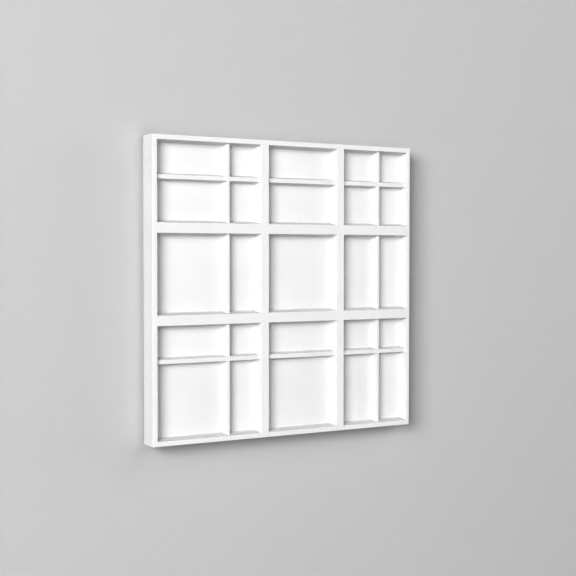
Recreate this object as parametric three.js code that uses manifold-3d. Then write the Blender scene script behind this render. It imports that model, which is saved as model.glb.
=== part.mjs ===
// Square relief wall panel: a thick back plate, a border and two main bars each way, all level with the
// front, and narrower lower bars that split the outer bays into compartments. One moulded piece.
// Millimetres, +X right, +Y into the wall, +Z up. The origin is the centre of the flat back face.

import * as THREE from 'three';
import { mergeVertices } from 'three/addons/utils/BufferGeometryUtils.js';
import Module from 'manifold-3d';

// Driving dimensions

const panelWidth = 333;
const panelHeight = 333;
const panelThickness = 25;
const pocketDepth = 11;
const borderWidth = 5.5;
const rightBorderWidth = 4;
const crossBarWidth = 11.1;
const smallCrossBarWidth = 4.7;
const uprightWidth = 9.6;
const smallUprightWidth = 3.3;

// How far the small bars' front faces stand back from the front of the panel
const smallBarSetback = 3;

// Each wall leans outwards by this much for each millimetre of depth, so that the mould lets go
const wallSlope = 0.22;

// Clear compartments at the front, from the left and from the bottom, in millimetres at a side of 333. On
// another size they share what the borders and the bars leave in the same proportion.
const columnCompartments = [83.9, 37.9, 89.7, 48.2, 38];
const rowCompartments = [82.5, 36.4, 88.2, 46.6, 36.7];

// How deep a small bar's ends and foot run into the walls and the plate that carry it
const barEmbed = 1.5;

const wasm = await Module();
wasm.setup();

// Spans of the bays and the small bars along one side, measured from its centre. The bars between the
// compartments are a small one, two main ones and a small one.
function layOut(length, firstBorder, lastBorder, mainWidth, smallWidth, compartments) {
  const compartmentSum = compartments.reduce((sum, width) => sum + width, 0);
  const room = length - firstBorder - lastBorder - 2 * mainWidth - 2 * smallWidth;
  const [first, second, third, fourth, fifth] = compartments.map((width) => width * room / compartmentSum);
  const firstBay = firstBorder - length / 2;
  const firstSmallBar = firstBay + first;
  const firstMainBar = firstSmallBar + smallWidth + second;
  const middleBay = firstMainBar + mainWidth;
  const secondMainBar = middleBay + third;
  const lastBay = secondMainBar + mainWidth;
  const lastSmallBar = lastBay + fourth;
  return {
    bays: [
      [firstBay, firstMainBar],
      [middleBay, secondMainBar],
      [lastBay, lastSmallBar + smallWidth + fifth],
    ],
    smallBars: [
      [firstSmallBar, firstSmallBar + smallWidth],
      [lastSmallBar, lastSmallBar + smallWidth],
    ],
  };
}

// A block between two depths behind the front face, whose four walls lean: its cross-section is the given
// rectangle at frontDepth and grows by spread millimetres a side for each millimetre inwards
function leaningBlock([left, right], [bottom, top], frontDepth, backDepth, spread) {
  const depth = backDepth - frontDepth;
  const geometry = new THREE.BoxGeometry(right - left, depth, top - bottom);
  const position = geometry.getAttribute('position');
  for (let i = 0; i < position.count; i += 1) {
    const grow = position.getY(i) > 0 ? spread * depth : 0;
    position.setX(i, position.getX(i) + Math.sign(position.getX(i)) * grow);
    position.setZ(i, position.getZ(i) + Math.sign(position.getZ(i)) * grow);
  }
  geometry.translate((left + right) / 2, frontDepth + depth / 2 - panelThickness, (bottom + top) / 2);
  return geometry;
}

// A closed three.js geometry as a solid that can be joined and cut
function toSolid(geometry) {
  geometry.deleteAttribute('normal');
  geometry.deleteAttribute('uv');
  const merged = mergeVertices(geometry);
  return new wasm.Manifold(new wasm.Mesh({
    numProp: 3,
    vertProperties: new Float32Array(merged.getAttribute('position').array),
    triVerts: new Uint32Array(merged.getIndex().array),
  }));
}

// The joined and cut solid as a geometry with flat shading
function toGeometry(solid) {
  const mesh = solid.getMesh();
  const geometry = new THREE.BufferGeometry();
  geometry.setAttribute('position', new THREE.BufferAttribute(mesh.vertProperties, 3));
  geometry.setIndex(new THREE.BufferAttribute(mesh.triVerts, 1));
  const flat = geometry.toNonIndexed();
  flat.computeVertexNormals();
  return flat;
}

// The whole moulding: the block, less its nine bays, plus the small uprights and cross bars
function buildPanel() {
  const columns = layOut(
    panelWidth, borderWidth, rightBorderWidth, uprightWidth, smallUprightWidth, columnCompartments);
  const rows = layOut(
    panelHeight, borderWidth, borderWidth, crossBarWidth, smallCrossBarWidth, rowCompartments);
  const block = new THREE.BoxGeometry(panelWidth, panelThickness, panelHeight);
  block.translate(0, -panelThickness / 2, 0);
  let panel = toSolid(block);
  for (const column of columns.bays) {
    for (const row of rows.bays) {
      panel = panel.subtract(toSolid(leaningBlock(column, row, 0, pocketDepth, -wallSlope)));
    }
  }
  const footDepth = pocketDepth + barEmbed;
  for (const bar of columns.smallBars) {
    for (const [bottom, top] of rows.bays) {
      const reach = [bottom - barEmbed, top + barEmbed];
      panel = panel.add(toSolid(leaningBlock(bar, reach, smallBarSetback, footDepth, wallSlope)));
    }
  }
  for (const bar of rows.smallBars) {
    for (const [left, right] of columns.bays) {
      const reach = [left - barEmbed, right + barEmbed];
      panel = panel.add(toSolid(leaningBlock(reach, bar, smallBarSetback, footDepth, wallSlope)));
    }
  }
  return toGeometry(panel);
}

const whitePrimer = new THREE.MeshStandardMaterial({ color: 0xf2f2f0, roughness: 0.6, metalness: 0 });

const group = new THREE.Group();
const panel = new THREE.Mesh(buildPanel(), whitePrimer);
panel.name = 'panel';
group.add(panel);

export default group;
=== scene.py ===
"""Looks of a square white relief wall panel: one moulded piece with a deep grid of recesses.

Everything is in metres in the part's own frame: +X to the right, +Y into the wall, +Z up, with the origin
at the centre of the flat back face. The moulding's surface is a height over the back face on a grid of
lines, with the small roundings that the plain solid leaves out.
"""

import logging
import math
from dataclasses import dataclass, field
from enum import Enum

import bpy
import numpy as np
from mathutils import Euler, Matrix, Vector


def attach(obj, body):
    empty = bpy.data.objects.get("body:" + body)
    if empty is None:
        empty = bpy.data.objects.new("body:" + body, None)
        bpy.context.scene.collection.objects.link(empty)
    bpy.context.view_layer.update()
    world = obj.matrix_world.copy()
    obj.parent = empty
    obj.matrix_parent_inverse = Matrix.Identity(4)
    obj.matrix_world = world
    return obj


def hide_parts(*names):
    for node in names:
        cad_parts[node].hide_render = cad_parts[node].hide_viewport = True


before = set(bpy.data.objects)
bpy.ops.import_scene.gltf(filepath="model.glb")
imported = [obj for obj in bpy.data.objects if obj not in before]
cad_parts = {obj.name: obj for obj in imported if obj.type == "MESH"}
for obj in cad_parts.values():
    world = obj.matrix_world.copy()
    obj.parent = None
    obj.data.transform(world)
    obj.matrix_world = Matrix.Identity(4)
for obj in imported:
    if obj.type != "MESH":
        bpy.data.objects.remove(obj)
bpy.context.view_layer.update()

LOG = logging.getLogger("wall_panel")
MILLIMETRE = 0.001
PANEL_CENTRE = (0.0, -0.0125, 0.0)

# An unturned camera looks straight down, and level once it is tipped up by this many degrees
LEVEL_TIP = 90.0


class BarHeight(Enum):
    """How far a bar's face stands behind the front of the panel, in millimetres."""

    LEVEL = 0.0
    LOW = 3.0


def node_of(tree: bpy.types.NodeTree, kind: str, **values: object) -> bpy.types.Node:
    """Adds a shader node and sets its inputs.

    Args:
        tree: the material's node tree.
        kind: the node's Blender type name.
        values: input values by name, with underscores for spaces.

    Returns:
        The new node.
    """
    node = tree.nodes.new(kind)
    for name, value in values.items():
        node.inputs[name.replace("_", " ")].default_value = value
    return node


def ramp_of(
    tree: bpy.types.NodeTree, places: tuple[float, float], greys: tuple[float, float]
) -> bpy.types.Node:
    """Adds a colour ramp that runs from one grey to another.

    Args:
        tree: the material's node tree.
        places: where the run starts and ends.
        greys: the grey at its start and at its end.

    Returns:
        The colour ramp node.
    """
    node = tree.nodes.new("ShaderNodeValToRGB")
    for element, place, grey in zip(node.color_ramp.elements, places, greys):
        element.position = place
        element.color = (grey, grey, grey, 1.0)
    return node


@dataclass(frozen=True)
class WhitePrimer:
    """Matt white primer on the moulded front, and the bare sanded foam of the back."""

    name: str = "matt_white_primer"
    white: float = 0.73
    roughness: float = 0.55
    roughness_play: float = 0.04
    gloss_level: float = 0.35
    mottle_size: float = 0.045
    mottle_detail: float = 3.0
    mottle_span: tuple[float, float] = (0.3, 0.7)
    mottle_shares: tuple[float, float] = (0.99, 1.01)
    grain_size: float = 0.0006
    grain_detail: float = 1.0
    grain_depth: float = 0.000012
    grain_strength: float = 0.35
    back_grain_size: float = 0.0011
    back_grain_detail: float = 2.0
    back_grain_depth: float = 0.00006
    back_grain_span: tuple[float, float] = (0.35, 0.6)
    back_shares: tuple[float, float] = (0.84, 0.94)
    back_rougher: float = 0.3
    back_edge: float = 0.0004

    def build(self) -> bpy.types.Material:
        """Builds the paint from Object coordinates.

        Returns:
            A material whose grey wanders by about one per cent over a few centimetres, with a fine
            grain in its bump, and which turns to coarser bare foam on the flat back face.
        """
        material = bpy.data.materials.new(self.name)
        material.use_nodes = True
        tree = material.node_tree
        shader = tree.nodes["Principled BSDF"]
        shader.inputs["Specular IOR Level"].default_value = self.gloss_level
        place = tree.nodes.new("ShaderNodeTexCoord")
        mottle = self._noise(tree, place, self.mottle_size, self.mottle_detail)
        paint = ramp_of(tree, self.mottle_span, self._greys(self.mottle_shares))
        tree.links.new(mottle.outputs["Fac"], paint.inputs["Fac"])
        foam_noise = self._noise(tree, place, self.back_grain_size, self.back_grain_detail)
        foam = ramp_of(tree, self.back_grain_span, self._greys(self.back_shares))
        tree.links.new(foam_noise.outputs["Fac"], foam.inputs["Fac"])
        depth = tree.nodes.new("ShaderNodeSeparateXYZ")
        tree.links.new(place.outputs["Object"], depth.inputs["Vector"])
        on_back = tree.nodes.new("ShaderNodeMath")
        on_back.operation = "GREATER_THAN"
        on_back.inputs[1].default_value = -self.back_edge
        tree.links.new(depth.outputs["Y"], on_back.inputs[0])
        colour = tree.nodes.new("ShaderNodeMix")
        colour.data_type = "RGBA"
        tree.links.new(on_back.outputs["Value"], colour.inputs["Factor"])
        tree.links.new(paint.outputs["Color"], colour.inputs["A"])
        tree.links.new(foam.outputs["Color"], colour.inputs["B"])
        tree.links.new(colour.outputs["Result"], shader.inputs["Base Color"])
        self._roughen(tree, mottle, on_back, shader)
        self._grain(tree, place, foam_noise, on_back, shader)
        return material

    def _greys(self, shares: tuple[float, float]) -> tuple[float, float]:
        """Two greys as shares of the white."""
        return self.white * shares[0], self.white * shares[1]

    def _noise(
        self, tree: bpy.types.NodeTree, place: bpy.types.Node, size: float, detail: float
    ) -> bpy.types.Node:
        """Adds a noise pattern on Object coordinates.

        Args:
            tree: the material's node tree.
            place: the node that gives the coordinates.
            size: about how wide one patch of the pattern is, in metres.
            detail: how many finer layers the pattern has.

        Returns:
            The noise node.
        """
        noise = node_of(tree, "ShaderNodeTexNoise", Scale=1 / size, Detail=detail)
        tree.links.new(place.outputs["Object"], noise.inputs["Vector"])
        return noise

    def _roughen(
        self,
        tree: bpy.types.NodeTree,
        mottle: bpy.types.Node,
        on_back: bpy.types.Node,
        shader: bpy.types.Node,
    ) -> None:
        """Lets the roughness wander with the mottle, and makes the back rougher still.

        Args:
            tree: the material's node tree.
            mottle: the slow noise of the paint.
            on_back: the node that is 1 on the back face and 0 elsewhere.
            shader: the surface shader.
        """
        greys = (self.roughness - self.roughness_play, self.roughness + self.roughness_play)
        paint = ramp_of(tree, self.mottle_span, greys)
        tree.links.new(mottle.outputs["Fac"], paint.inputs["Fac"])
        rougher = tree.nodes.new("ShaderNodeMath")
        rougher.operation = "MULTIPLY_ADD"
        rougher.inputs[1].default_value = self.back_rougher
        tree.links.new(on_back.outputs["Value"], rougher.inputs[0])
        tree.links.new(paint.outputs["Color"], rougher.inputs[2])
        tree.links.new(rougher.outputs["Value"], shader.inputs["Roughness"])

    def _grain(
        self,
        tree: bpy.types.NodeTree,
        place: bpy.types.Node,
        foam_noise: bpy.types.Node,
        on_back: bpy.types.Node,
        shader: bpy.types.Node,
    ) -> None:
        """Adds the fine spray grain of the front and the open cells of the sanded back to the bump.

        Args:
            tree: the material's node tree.
            place: the node that gives the coordinates.
            foam_noise: the noise of the bare foam.
            on_back: the node that is 1 on the back face and 0 elsewhere.
            shader: the surface shader.
        """
        spray = self._noise(tree, place, self.grain_size, self.grain_detail)
        fine = node_of(tree, "ShaderNodeBump", Strength=self.grain_strength, Distance=self.grain_depth)
        tree.links.new(spray.outputs["Fac"], fine.inputs["Height"])
        cells = node_of(tree, "ShaderNodeBump", Distance=self.back_grain_depth)
        tree.links.new(on_back.outputs["Value"], cells.inputs["Strength"])
        tree.links.new(foam_noise.outputs["Fac"], cells.inputs["Height"])
        tree.links.new(fine.outputs["Normal"], cells.inputs["Normal"])
        tree.links.new(cells.outputs["Normal"], shader.inputs["Normal"])


@dataclass(frozen=True)
class FlatPaint:
    """Plain matt paint of the studio's wall and floor."""

    name: str
    grey: float
    clear_from_behind: bool = False
    roughness: float = 0.95
    gloss_level: float = 0.1

    def build(self) -> bpy.types.Material:
        """Builds the paint.

        Returns:
            A matt grey. A wall that is clear from behind lets the panel's back be looked at.
        """
        material = bpy.data.materials.new(self.name)
        material.use_nodes = True
        tree = material.node_tree
        shader = tree.nodes["Principled BSDF"]
        shader.inputs["Base Color"].default_value = (self.grey, self.grey, self.grey, 1.0)
        shader.inputs["Roughness"].default_value = self.roughness
        shader.inputs["Specular IOR Level"].default_value = self.gloss_level
        if self.clear_from_behind:
            side = tree.nodes.new("ShaderNodeNewGeometry")
            clear = tree.nodes.new("ShaderNodeBsdfTransparent")
            either = tree.nodes.new("ShaderNodeMixShader")
            tree.links.new(side.outputs["Backfacing"], either.inputs["Fac"])
            tree.links.new(shader.outputs["BSDF"], either.inputs[1])
            tree.links.new(clear.outputs["BSDF"], either.inputs[2])
            tree.links.new(either.outputs["Shader"], tree.nodes["Material Output"].inputs["Surface"])
        return material


@dataclass(frozen=True)
class Bar:
    """One raised bar or border along the panel, in millimetres from its left or bottom edge."""

    start: float
    end: float
    height: BarHeight = BarHeight.LEVEL


@dataclass
class ReliefPanel:
    """The whole moulding, in millimetres until it is put into a mesh."""

    side: float = 333.0
    thickness: float = 25.0
    pocket_depth: float = 11.0
    wall_slope: float = 0.22
    border: float = 5.5
    right_border: float = 4.0
    uprights: tuple[Bar, ...] = (
        Bar(89.4, 92.7, BarHeight.LOW),
        Bar(130.6, 140.2),
        Bar(229.9, 239.5),
        Bar(287.7, 291.0, BarHeight.LOW),
    )
    cross_bars: tuple[Bar, ...] = (
        Bar(88.0, 92.7, BarHeight.LOW),
        Bar(129.1, 140.2),
        Bar(228.4, 239.5),
        Bar(286.1, 290.8, BarHeight.LOW),
    )
    edge_radius: float = 0.3
    foot_radius: float = 0.8
    outer_radius: float = 0.5
    arc_steps: int = 5
    widest_step: float = 6.0
    least_drop: float = 0.001
    place_decimals: int = 5
    smooth_below: float = 32.0
    flatness_weight: int = 100
    finish: WhitePrimer = field(default_factory=WhitePrimer)

    def framed(self, bars: tuple[Bar, ...], last_border: float) -> list[Bar]:
        """The bars along one side with the borders at its ends.

        Each border runs on far beyond the panel, so that it has a wall on its inner side alone.

        Args:
            bars: the bars between the borders.
            last_border: width of the border at the far end.

        Returns:
            Every raised strip that crosses this side.
        """
        first = Bar(-self.side, self.border)
        last = Bar(self.side - last_border, 2 * self.side)
        return [first, *bars, last]

    def wall_profile(self, bar: Bar) -> tuple[np.ndarray, np.ndarray]:
        """The section of a bar's wall, outwards from the bar's edge.

        The face turns through an arc of edge_radius into a straight wall that leans out by
        wall_slope for each millimetre down, and an arc of foot_radius turns it into the floor. Each
        arc starts its tangent length, radius times the tangent of half the turn, from the corner. A
        wall also has a corner at every level where a low bar's edge turns, so that the line where a
        low bar runs into it lies on corners of both.

        Args:
            bar: the bar, for its height.

        Returns:
            Distances out from the bar's edge, rising, and the level at each.
        """
        turn = math.pi / 2 - math.atan(self.wall_slope)
        top = self.thickness - bar.height.value
        floor = self.thickness - self.pocket_depth
        foot = self.wall_slope * (top - floor)
        angle = np.linspace(0.0, turn, self.arc_steps)
        edge_tangent = self.edge_radius * math.tan(turn / 2)
        foot_tangent = self.foot_radius * math.tan(turn / 2)
        edge_drop = self.edge_radius * (1 - np.cos(angle))
        edge_out = -edge_tangent + self.edge_radius * np.sin(angle)
        low_level = self.thickness - BarHeight.LOW.value - edge_drop
        wall_level = low_level[low_level < top - edge_drop[-1] - self.least_drop]
        wall_out = self.wall_slope * (top - wall_level)
        foot_out = foot + foot_tangent - self.foot_radius * np.sin(angle[::-1])
        foot_level = floor + self.foot_radius * (1 - np.cos(angle[::-1]))
        out = np.concatenate([edge_out, wall_out, foot_out])
        return out, np.concatenate([top - edge_drop, wall_level, foot_level])

    def section(self, bars: list[Bar]) -> tuple[np.ndarray, np.ndarray]:
        """Lines along one side of the panel and the level of the bars that cross them.

        The lines are the corners of every bar's wall profile and of the outer edge's rounding, with
        more between them where they lie over widest_step apart. At each line the level is the
        highest of the floor and of every bar's profile at that distance from the bar.

        Args:
            bars: the raised strips that cross this side.

        Returns:
            Places of the lines from 0 to the side, and the level at each.
        """
        rounding = self.outer_radius * (1 - np.cos(np.linspace(0.0, math.pi / 2, self.arc_steps)))
        places = [rounding, self.side - rounding]
        for bar in bars:
            out, _ = self.wall_profile(bar)
            places += [bar.start - out, bar.end + out]
        lines = np.unique(np.round(np.concatenate(places), self.place_decimals))
        lines = lines[(lines >= 0.0) & (lines <= self.side)]
        counts = np.floor(np.diff(lines) / self.widest_step).astype(int) + 1
        starts = np.repeat(lines[:-1], counts)
        steps = np.repeat(np.diff(lines) / counts, counts)
        turns = np.arange(counts.sum()) - np.repeat(np.cumsum(counts) - counts, counts)
        lines = np.append(starts + steps * turns, self.side)
        level = np.full(lines.shape, self.thickness - self.pocket_depth)
        for bar in bars:
            out, height = self.wall_profile(bar)
            away = np.maximum(bar.start - lines, lines - bar.end)
            level = np.maximum(level, np.interp(away, out, height))
        return lines, level

    def outer_rounding(self, lines: np.ndarray) -> np.ndarray:
        """The highest level that the quarter round of the outer edge leaves at each line.

        Within outer_radius of the edge the level falls from the thickness by the radius less the
        root of the radius squared less the square of what is left to the edge of the round.

        Args:
            lines: places along one side.

        Returns:
            The level at each place.
        """
        near = np.minimum(lines, self.side - lines)
        rest = np.clip(self.outer_radius - near, 0.0, self.outer_radius)
        return self.thickness - self.outer_radius + np.sqrt(self.outer_radius**2 - rest**2)

    def front(self) -> tuple[np.ndarray, np.ndarray, np.ndarray]:
        """Corner points of the front on a grid of lines up and across.

        The level is the higher of the two sections, cut down by the outer rounding. The sections
        are straight between their lines, so the same rule on the means of neighbouring lines gives
        the level in the middle of each cell.

        Returns:
            Points in metres in the part's frame, the level of each, and the level in the middle of
            each cell, all by line across and line up.
        """
        across, upright_level = self.section(self.framed(self.uprights, self.right_border))
        up, cross_level = self.section(self.framed(self.cross_bars, self.border))
        sections = (upright_level, cross_level, self.outer_rounding(across), self.outer_rounding(up))
        level = self.combined(*sections)
        middle = self.combined(*[(values[:-1] + values[1:]) / 2 for values in sections])
        x, z = np.meshgrid(across - self.side / 2, up - self.side / 2, indexing="ij")
        return np.stack([x, -level, z], axis=-1) * MILLIMETRE, level, middle

    def combined(
        self, upright: np.ndarray, cross: np.ndarray, across_limit: np.ndarray, up_limit: np.ndarray
    ) -> np.ndarray:
        """The higher of two sections, cut down to the lower of two limits.

        Args:
            upright: level of the uprights at each place across.
            cross: level of the cross bars at each place up.
            across_limit: highest level at each place across.
            up_limit: highest level at each place up.

        Returns:
            The level by place across and place up.
        """
        level = np.maximum(upright[:, None], cross[None, :])
        return np.minimum(level, np.minimum(across_limit[:, None], up_limit[None, :]))

    def triangles(self, level: np.ndarray, middle: np.ndarray) -> np.ndarray:
        """Cuts each cell of the grid in two along the diagonal that passes nearer its middle.

        Where two walls meet in a corner, that diagonal is the crease between them.

        Args:
            level: the level of each grid point.
            middle: the level in the middle of each cell.

        Returns:
            Point numbers of the front's triangles, turned outwards.
        """
        number = np.arange(level.size).reshape(level.shape)
        left_low = number[:-1, :-1]
        right_low = number[1:, :-1]
        right_high = number[1:, 1:]
        left_high = number[:-1, 1:]
        rising = np.abs((level[:-1, :-1] + level[1:, 1:]) / 2 - middle)
        falling = np.abs((level[1:, :-1] + level[:-1, 1:]) / 2 - middle)
        along = rising <= falling
        halves = [
            np.stack([left_low[along], right_low[along], right_high[along]], axis=-1),
            np.stack([left_low[along], right_high[along], left_high[along]], axis=-1),
            np.stack([left_low[~along], right_low[~along], left_high[~along]], axis=-1),
            np.stack([right_low[~along], right_high[~along], left_high[~along]], axis=-1),
        ]
        return np.concatenate(halves)

    def build(self) -> bpy.types.Object:
        """Builds and dresses the moulding in place of its plain solid.

        A ring of points on the back face below the grid's border closes the four sides, and one face
        inside the ring closes the back.

        Returns:
            The panel's object, riding on the part's only body.
        """
        grid, level, middle = self.front()
        number = np.arange(level.size).reshape(level.shape)
        border = np.concatenate([number[:-1, 0], number[-1, :-1], number[:0:-1, -1], number[0, :0:-1]])
        points = grid.reshape(-1, 3)
        ring = points[border] * np.array([1.0, 0.0, 1.0])
        below = points.shape[0] + np.arange(border.size)
        sides = np.stack([border, below, np.roll(below, -1), np.roll(border, -1)], axis=-1)
        faces = self.triangles(level, middle).tolist() + sides.tolist() + [below[::-1].tolist()]
        mesh = bpy.data.meshes.new("moulded_panel")
        mesh.from_pydata(np.concatenate([points, ring]).tolist(), [], faces)
        mesh.polygons.foreach_set("use_smooth", np.ones(len(mesh.polygons), dtype=bool))
        mesh.set_sharp_from_angle(angle=math.radians(self.smooth_below))
        mesh.materials.append(self.finish.build())
        panel = bpy.data.objects.new("moulded_panel", mesh)
        bpy.context.scene.collection.objects.link(panel)
        shading = panel.modifiers.new("flat_faces_stay_flat", "WEIGHTED_NORMAL")
        shading.mode = "FACE_AREA"
        shading.weight = self.flatness_weight
        shading.keep_sharp = True
        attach(panel, "root")
        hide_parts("panel")
        LOG.info("panel: %d faces", len(mesh.polygons))
        return panel


@dataclass
class Studio:
    """The wall behind the panel and the floor below it, neither of them part of the object."""

    reach: float = 4.0
    wall_gap: float = 0.003
    hatch_side: float = 0.33
    floor_drop: float = 1.5
    wall_paint: FlatPaint = FlatPaint("grey_wall_paint", 0.58, clear_from_behind=True)
    floor_paint: FlatPaint = FlatPaint("pale_floor_paint", 0.5)

    def build(self) -> list[bpy.types.Object]:
        """Builds the wall with a hatch behind the panel, and the floor.

        The hatch is smaller than the panel, so it shows from behind alone. The wall is a square
        ring between the outer square, whose lower side stands on the floor, and the hatch.

        Returns:
            The wall and the floor.
        """
        square = np.array([[-1.0, -1.0], [1.0, -1.0], [1.0, 1.0], [-1.0, 1.0]])
        outer = square * self.reach
        inner = square * self.hatch_side / 2
        ring = np.concatenate([outer, inner])
        points = np.stack([ring[:, 0], np.full(len(ring), self.wall_gap), ring[:, 1]], axis=-1)
        points[:2, 2] = -self.floor_drop
        faces = [(0, 1, 5, 4), (1, 2, 6, 5), (2, 3, 7, 6), (3, 0, 4, 7)]
        wall = self._add("studio_wall", points, faces, self.wall_paint)
        floor_level = np.full(len(outer), -self.floor_drop)
        floor_points = np.stack([outer[:, 0], outer[:, 1], floor_level], axis=-1)
        floor = self._add("studio_floor", floor_points, [(0, 1, 2, 3)], self.floor_paint)
        return [wall, floor]

    def _add(
        self, name: str, points: np.ndarray, faces: list[tuple[int, ...]], paint: FlatPaint
    ) -> bpy.types.Object:
        """Adds one painted surface to the scene.

        Args:
            name: the surface's name.
            points: its corner points in metres.
            faces: the corner numbers of each face.
            paint: the paint on it.

        Returns:
            The surface's object.
        """
        mesh = bpy.data.meshes.new(name)
        mesh.from_pydata(points.tolist(), [], faces)
        mesh.materials.append(paint.build())
        thing = bpy.data.objects.new(name, mesh)
        bpy.context.scene.collection.objects.link(thing)
        LOG.info("%s: built", name)
        return thing


@dataclass(frozen=True)
class SoftLight:
    """One soft box, placed by where it stands as seen from the panel."""

    name: str
    azimuth: float
    elevation: float
    distance: float
    width: float
    height: float
    watts: float

    def place(self) -> bpy.types.Object:
        """Hangs the light and turns it to the panel.

        Its place is the distance along the azimuth, from straight in front towards the right, and
        the elevation above the horizon.

        Returns:
            The light's object.
        """
        data = bpy.data.lights.new(self.name, "AREA")
        data.shape = "RECTANGLE"
        data.size = self.width
        data.size_y = self.height
        data.energy = self.watts
        turn, rise = math.radians(self.azimuth), math.radians(self.elevation)
        away = Vector((math.sin(turn) * math.cos(rise), -math.cos(turn) * math.cos(rise), math.sin(rise)))
        light = bpy.data.objects.new(self.name, data)
        light.location = Vector(PANEL_CENTRE) + away * self.distance
        light.rotation_euler = away.to_track_quat("Z", "Y").to_euler()
        bpy.context.scene.collection.objects.link(light)
        return light


@dataclass
class Lighting:
    """Soft studio light from the left, with weaker lights in front and from the right, and one behind."""

    fill: float = 0.01
    surround: float = 0.75
    lights: tuple[SoftLight, ...] = (
        SoftLight("key_light", -49.5, 12.0, 6.0, 3.0, 2.4, 308.0),
        SoftLight("near_left_light", -47.0, 18.0, 2.5, 1.2, 1.3, 14.0),
        SoftLight("front_light", 12.0, 18.0, 3.0, 1.4, 1.4, 18.0),
        SoftLight("low_front_light", 0.0, -14.0, 3.0, 1.4, 1.2, 15.0),
        SoftLight("high_right_light", 45.0, 38.0, 3.0, 1.4, 1.4, 15.5),
        SoftLight("right_light", 78.0, 8.0, 3.0, 1.2, 1.2, 22.0),
        SoftLight("back_light", 180.0, 40.0, 2.5, 2.2, 2.2, 95.0),
    )

    def build(self) -> None:
        """Places every light and sets the even fill of the world."""
        for light in self.lights:
            light.place()
            LOG.info("%s: placed", light.name)
        bpy.context.scene.world = self._air()

    def _air(self) -> bpy.types.World:
        """Builds the world: a weak even fill that looks like a pale surround.

        Its strength is the fill, and for what the camera itself sees the surround.

        Returns:
            The world.
        """
        world = bpy.data.worlds.new("studio_air")
        world.use_nodes = True
        tree = world.node_tree
        sky = tree.nodes["Background"]
        sky.inputs["Color"].default_value = (1.0, 1.0, 1.0, 1.0)
        path = tree.nodes.new("ShaderNodeLightPath")
        strength = tree.nodes.new("ShaderNodeMath")
        strength.operation = "MULTIPLY_ADD"
        strength.inputs[1].default_value = self.surround - self.fill
        strength.inputs[2].default_value = self.fill
        tree.links.new(path.outputs["Is Camera Ray"], strength.inputs[0])
        tree.links.new(strength.outputs["Value"], sky.inputs["Strength"])
        return world


@dataclass
class Viewpoint:
    """The camera, left of the panel and a little above its middle."""

    location: tuple[float, float, float] = (-0.61508, -1.11158, 0.03933)
    turned_right: float = 29.438
    tipped_down: float = 1.759
    rolled: float = 0.033
    focal_pixels: float = 1102.8
    image_pixels: float = 576.0
    sensor: float = 36.0
    nearest: float = 0.05
    farthest: float = 50.0
    contrast_gamma: float = 0.55

    def build(self) -> bpy.types.Object:
        """Builds the camera and makes it the scene's own.

        The focal length is the sensor's width times the focal length in pixels over the image's
        width. The camera is rolled about its own axis, tipped, and turned about the vertical.

        Returns:
            The camera's object.
        """
        data = bpy.data.cameras.new("viewpoint")
        data.sensor_width = self.sensor
        data.lens = self.focal_pixels / self.image_pixels * self.sensor
        data.clip_start = self.nearest
        data.clip_end = self.farthest
        camera = bpy.data.objects.new("viewpoint", data)
        camera.location = self.location
        tip = math.radians(LEVEL_TIP - self.tipped_down)
        turned = Euler((tip, 0.0, -math.radians(self.turned_right)), "XYZ").to_matrix()
        roll = Euler((0.0, 0.0, math.radians(self.rolled)), "XYZ").to_matrix()
        camera.rotation_euler = (turned @ roll).to_euler("XYZ")
        bpy.context.scene.collection.objects.link(camera)
        bpy.context.scene.camera = camera
        return camera

    def develop(self) -> None:
        """Sets a plain view with much more contrast than a straight one.

        A gamma below 1 darkens the greys and leaves the whites, as the photo's tones have it.
        """
        view = bpy.context.scene.view_settings
        view.view_transform = "Standard"
        view.look = "None"
        view.exposure = 0.0
        view.gamma = self.contrast_gamma


def main() -> None:
    """Builds the panel, its studio, the lights and the camera."""
    logging.basicConfig(level=logging.INFO, format="%(name)s: %(message)s")
    panel = ReliefPanel().build()
    LOG.info("%s rides on the part's body", panel.name)
    Studio().build()
    Lighting().build()
    viewpoint = Viewpoint()
    viewpoint.build()
    viewpoint.develop()


if __name__ == "__main__":
    main()
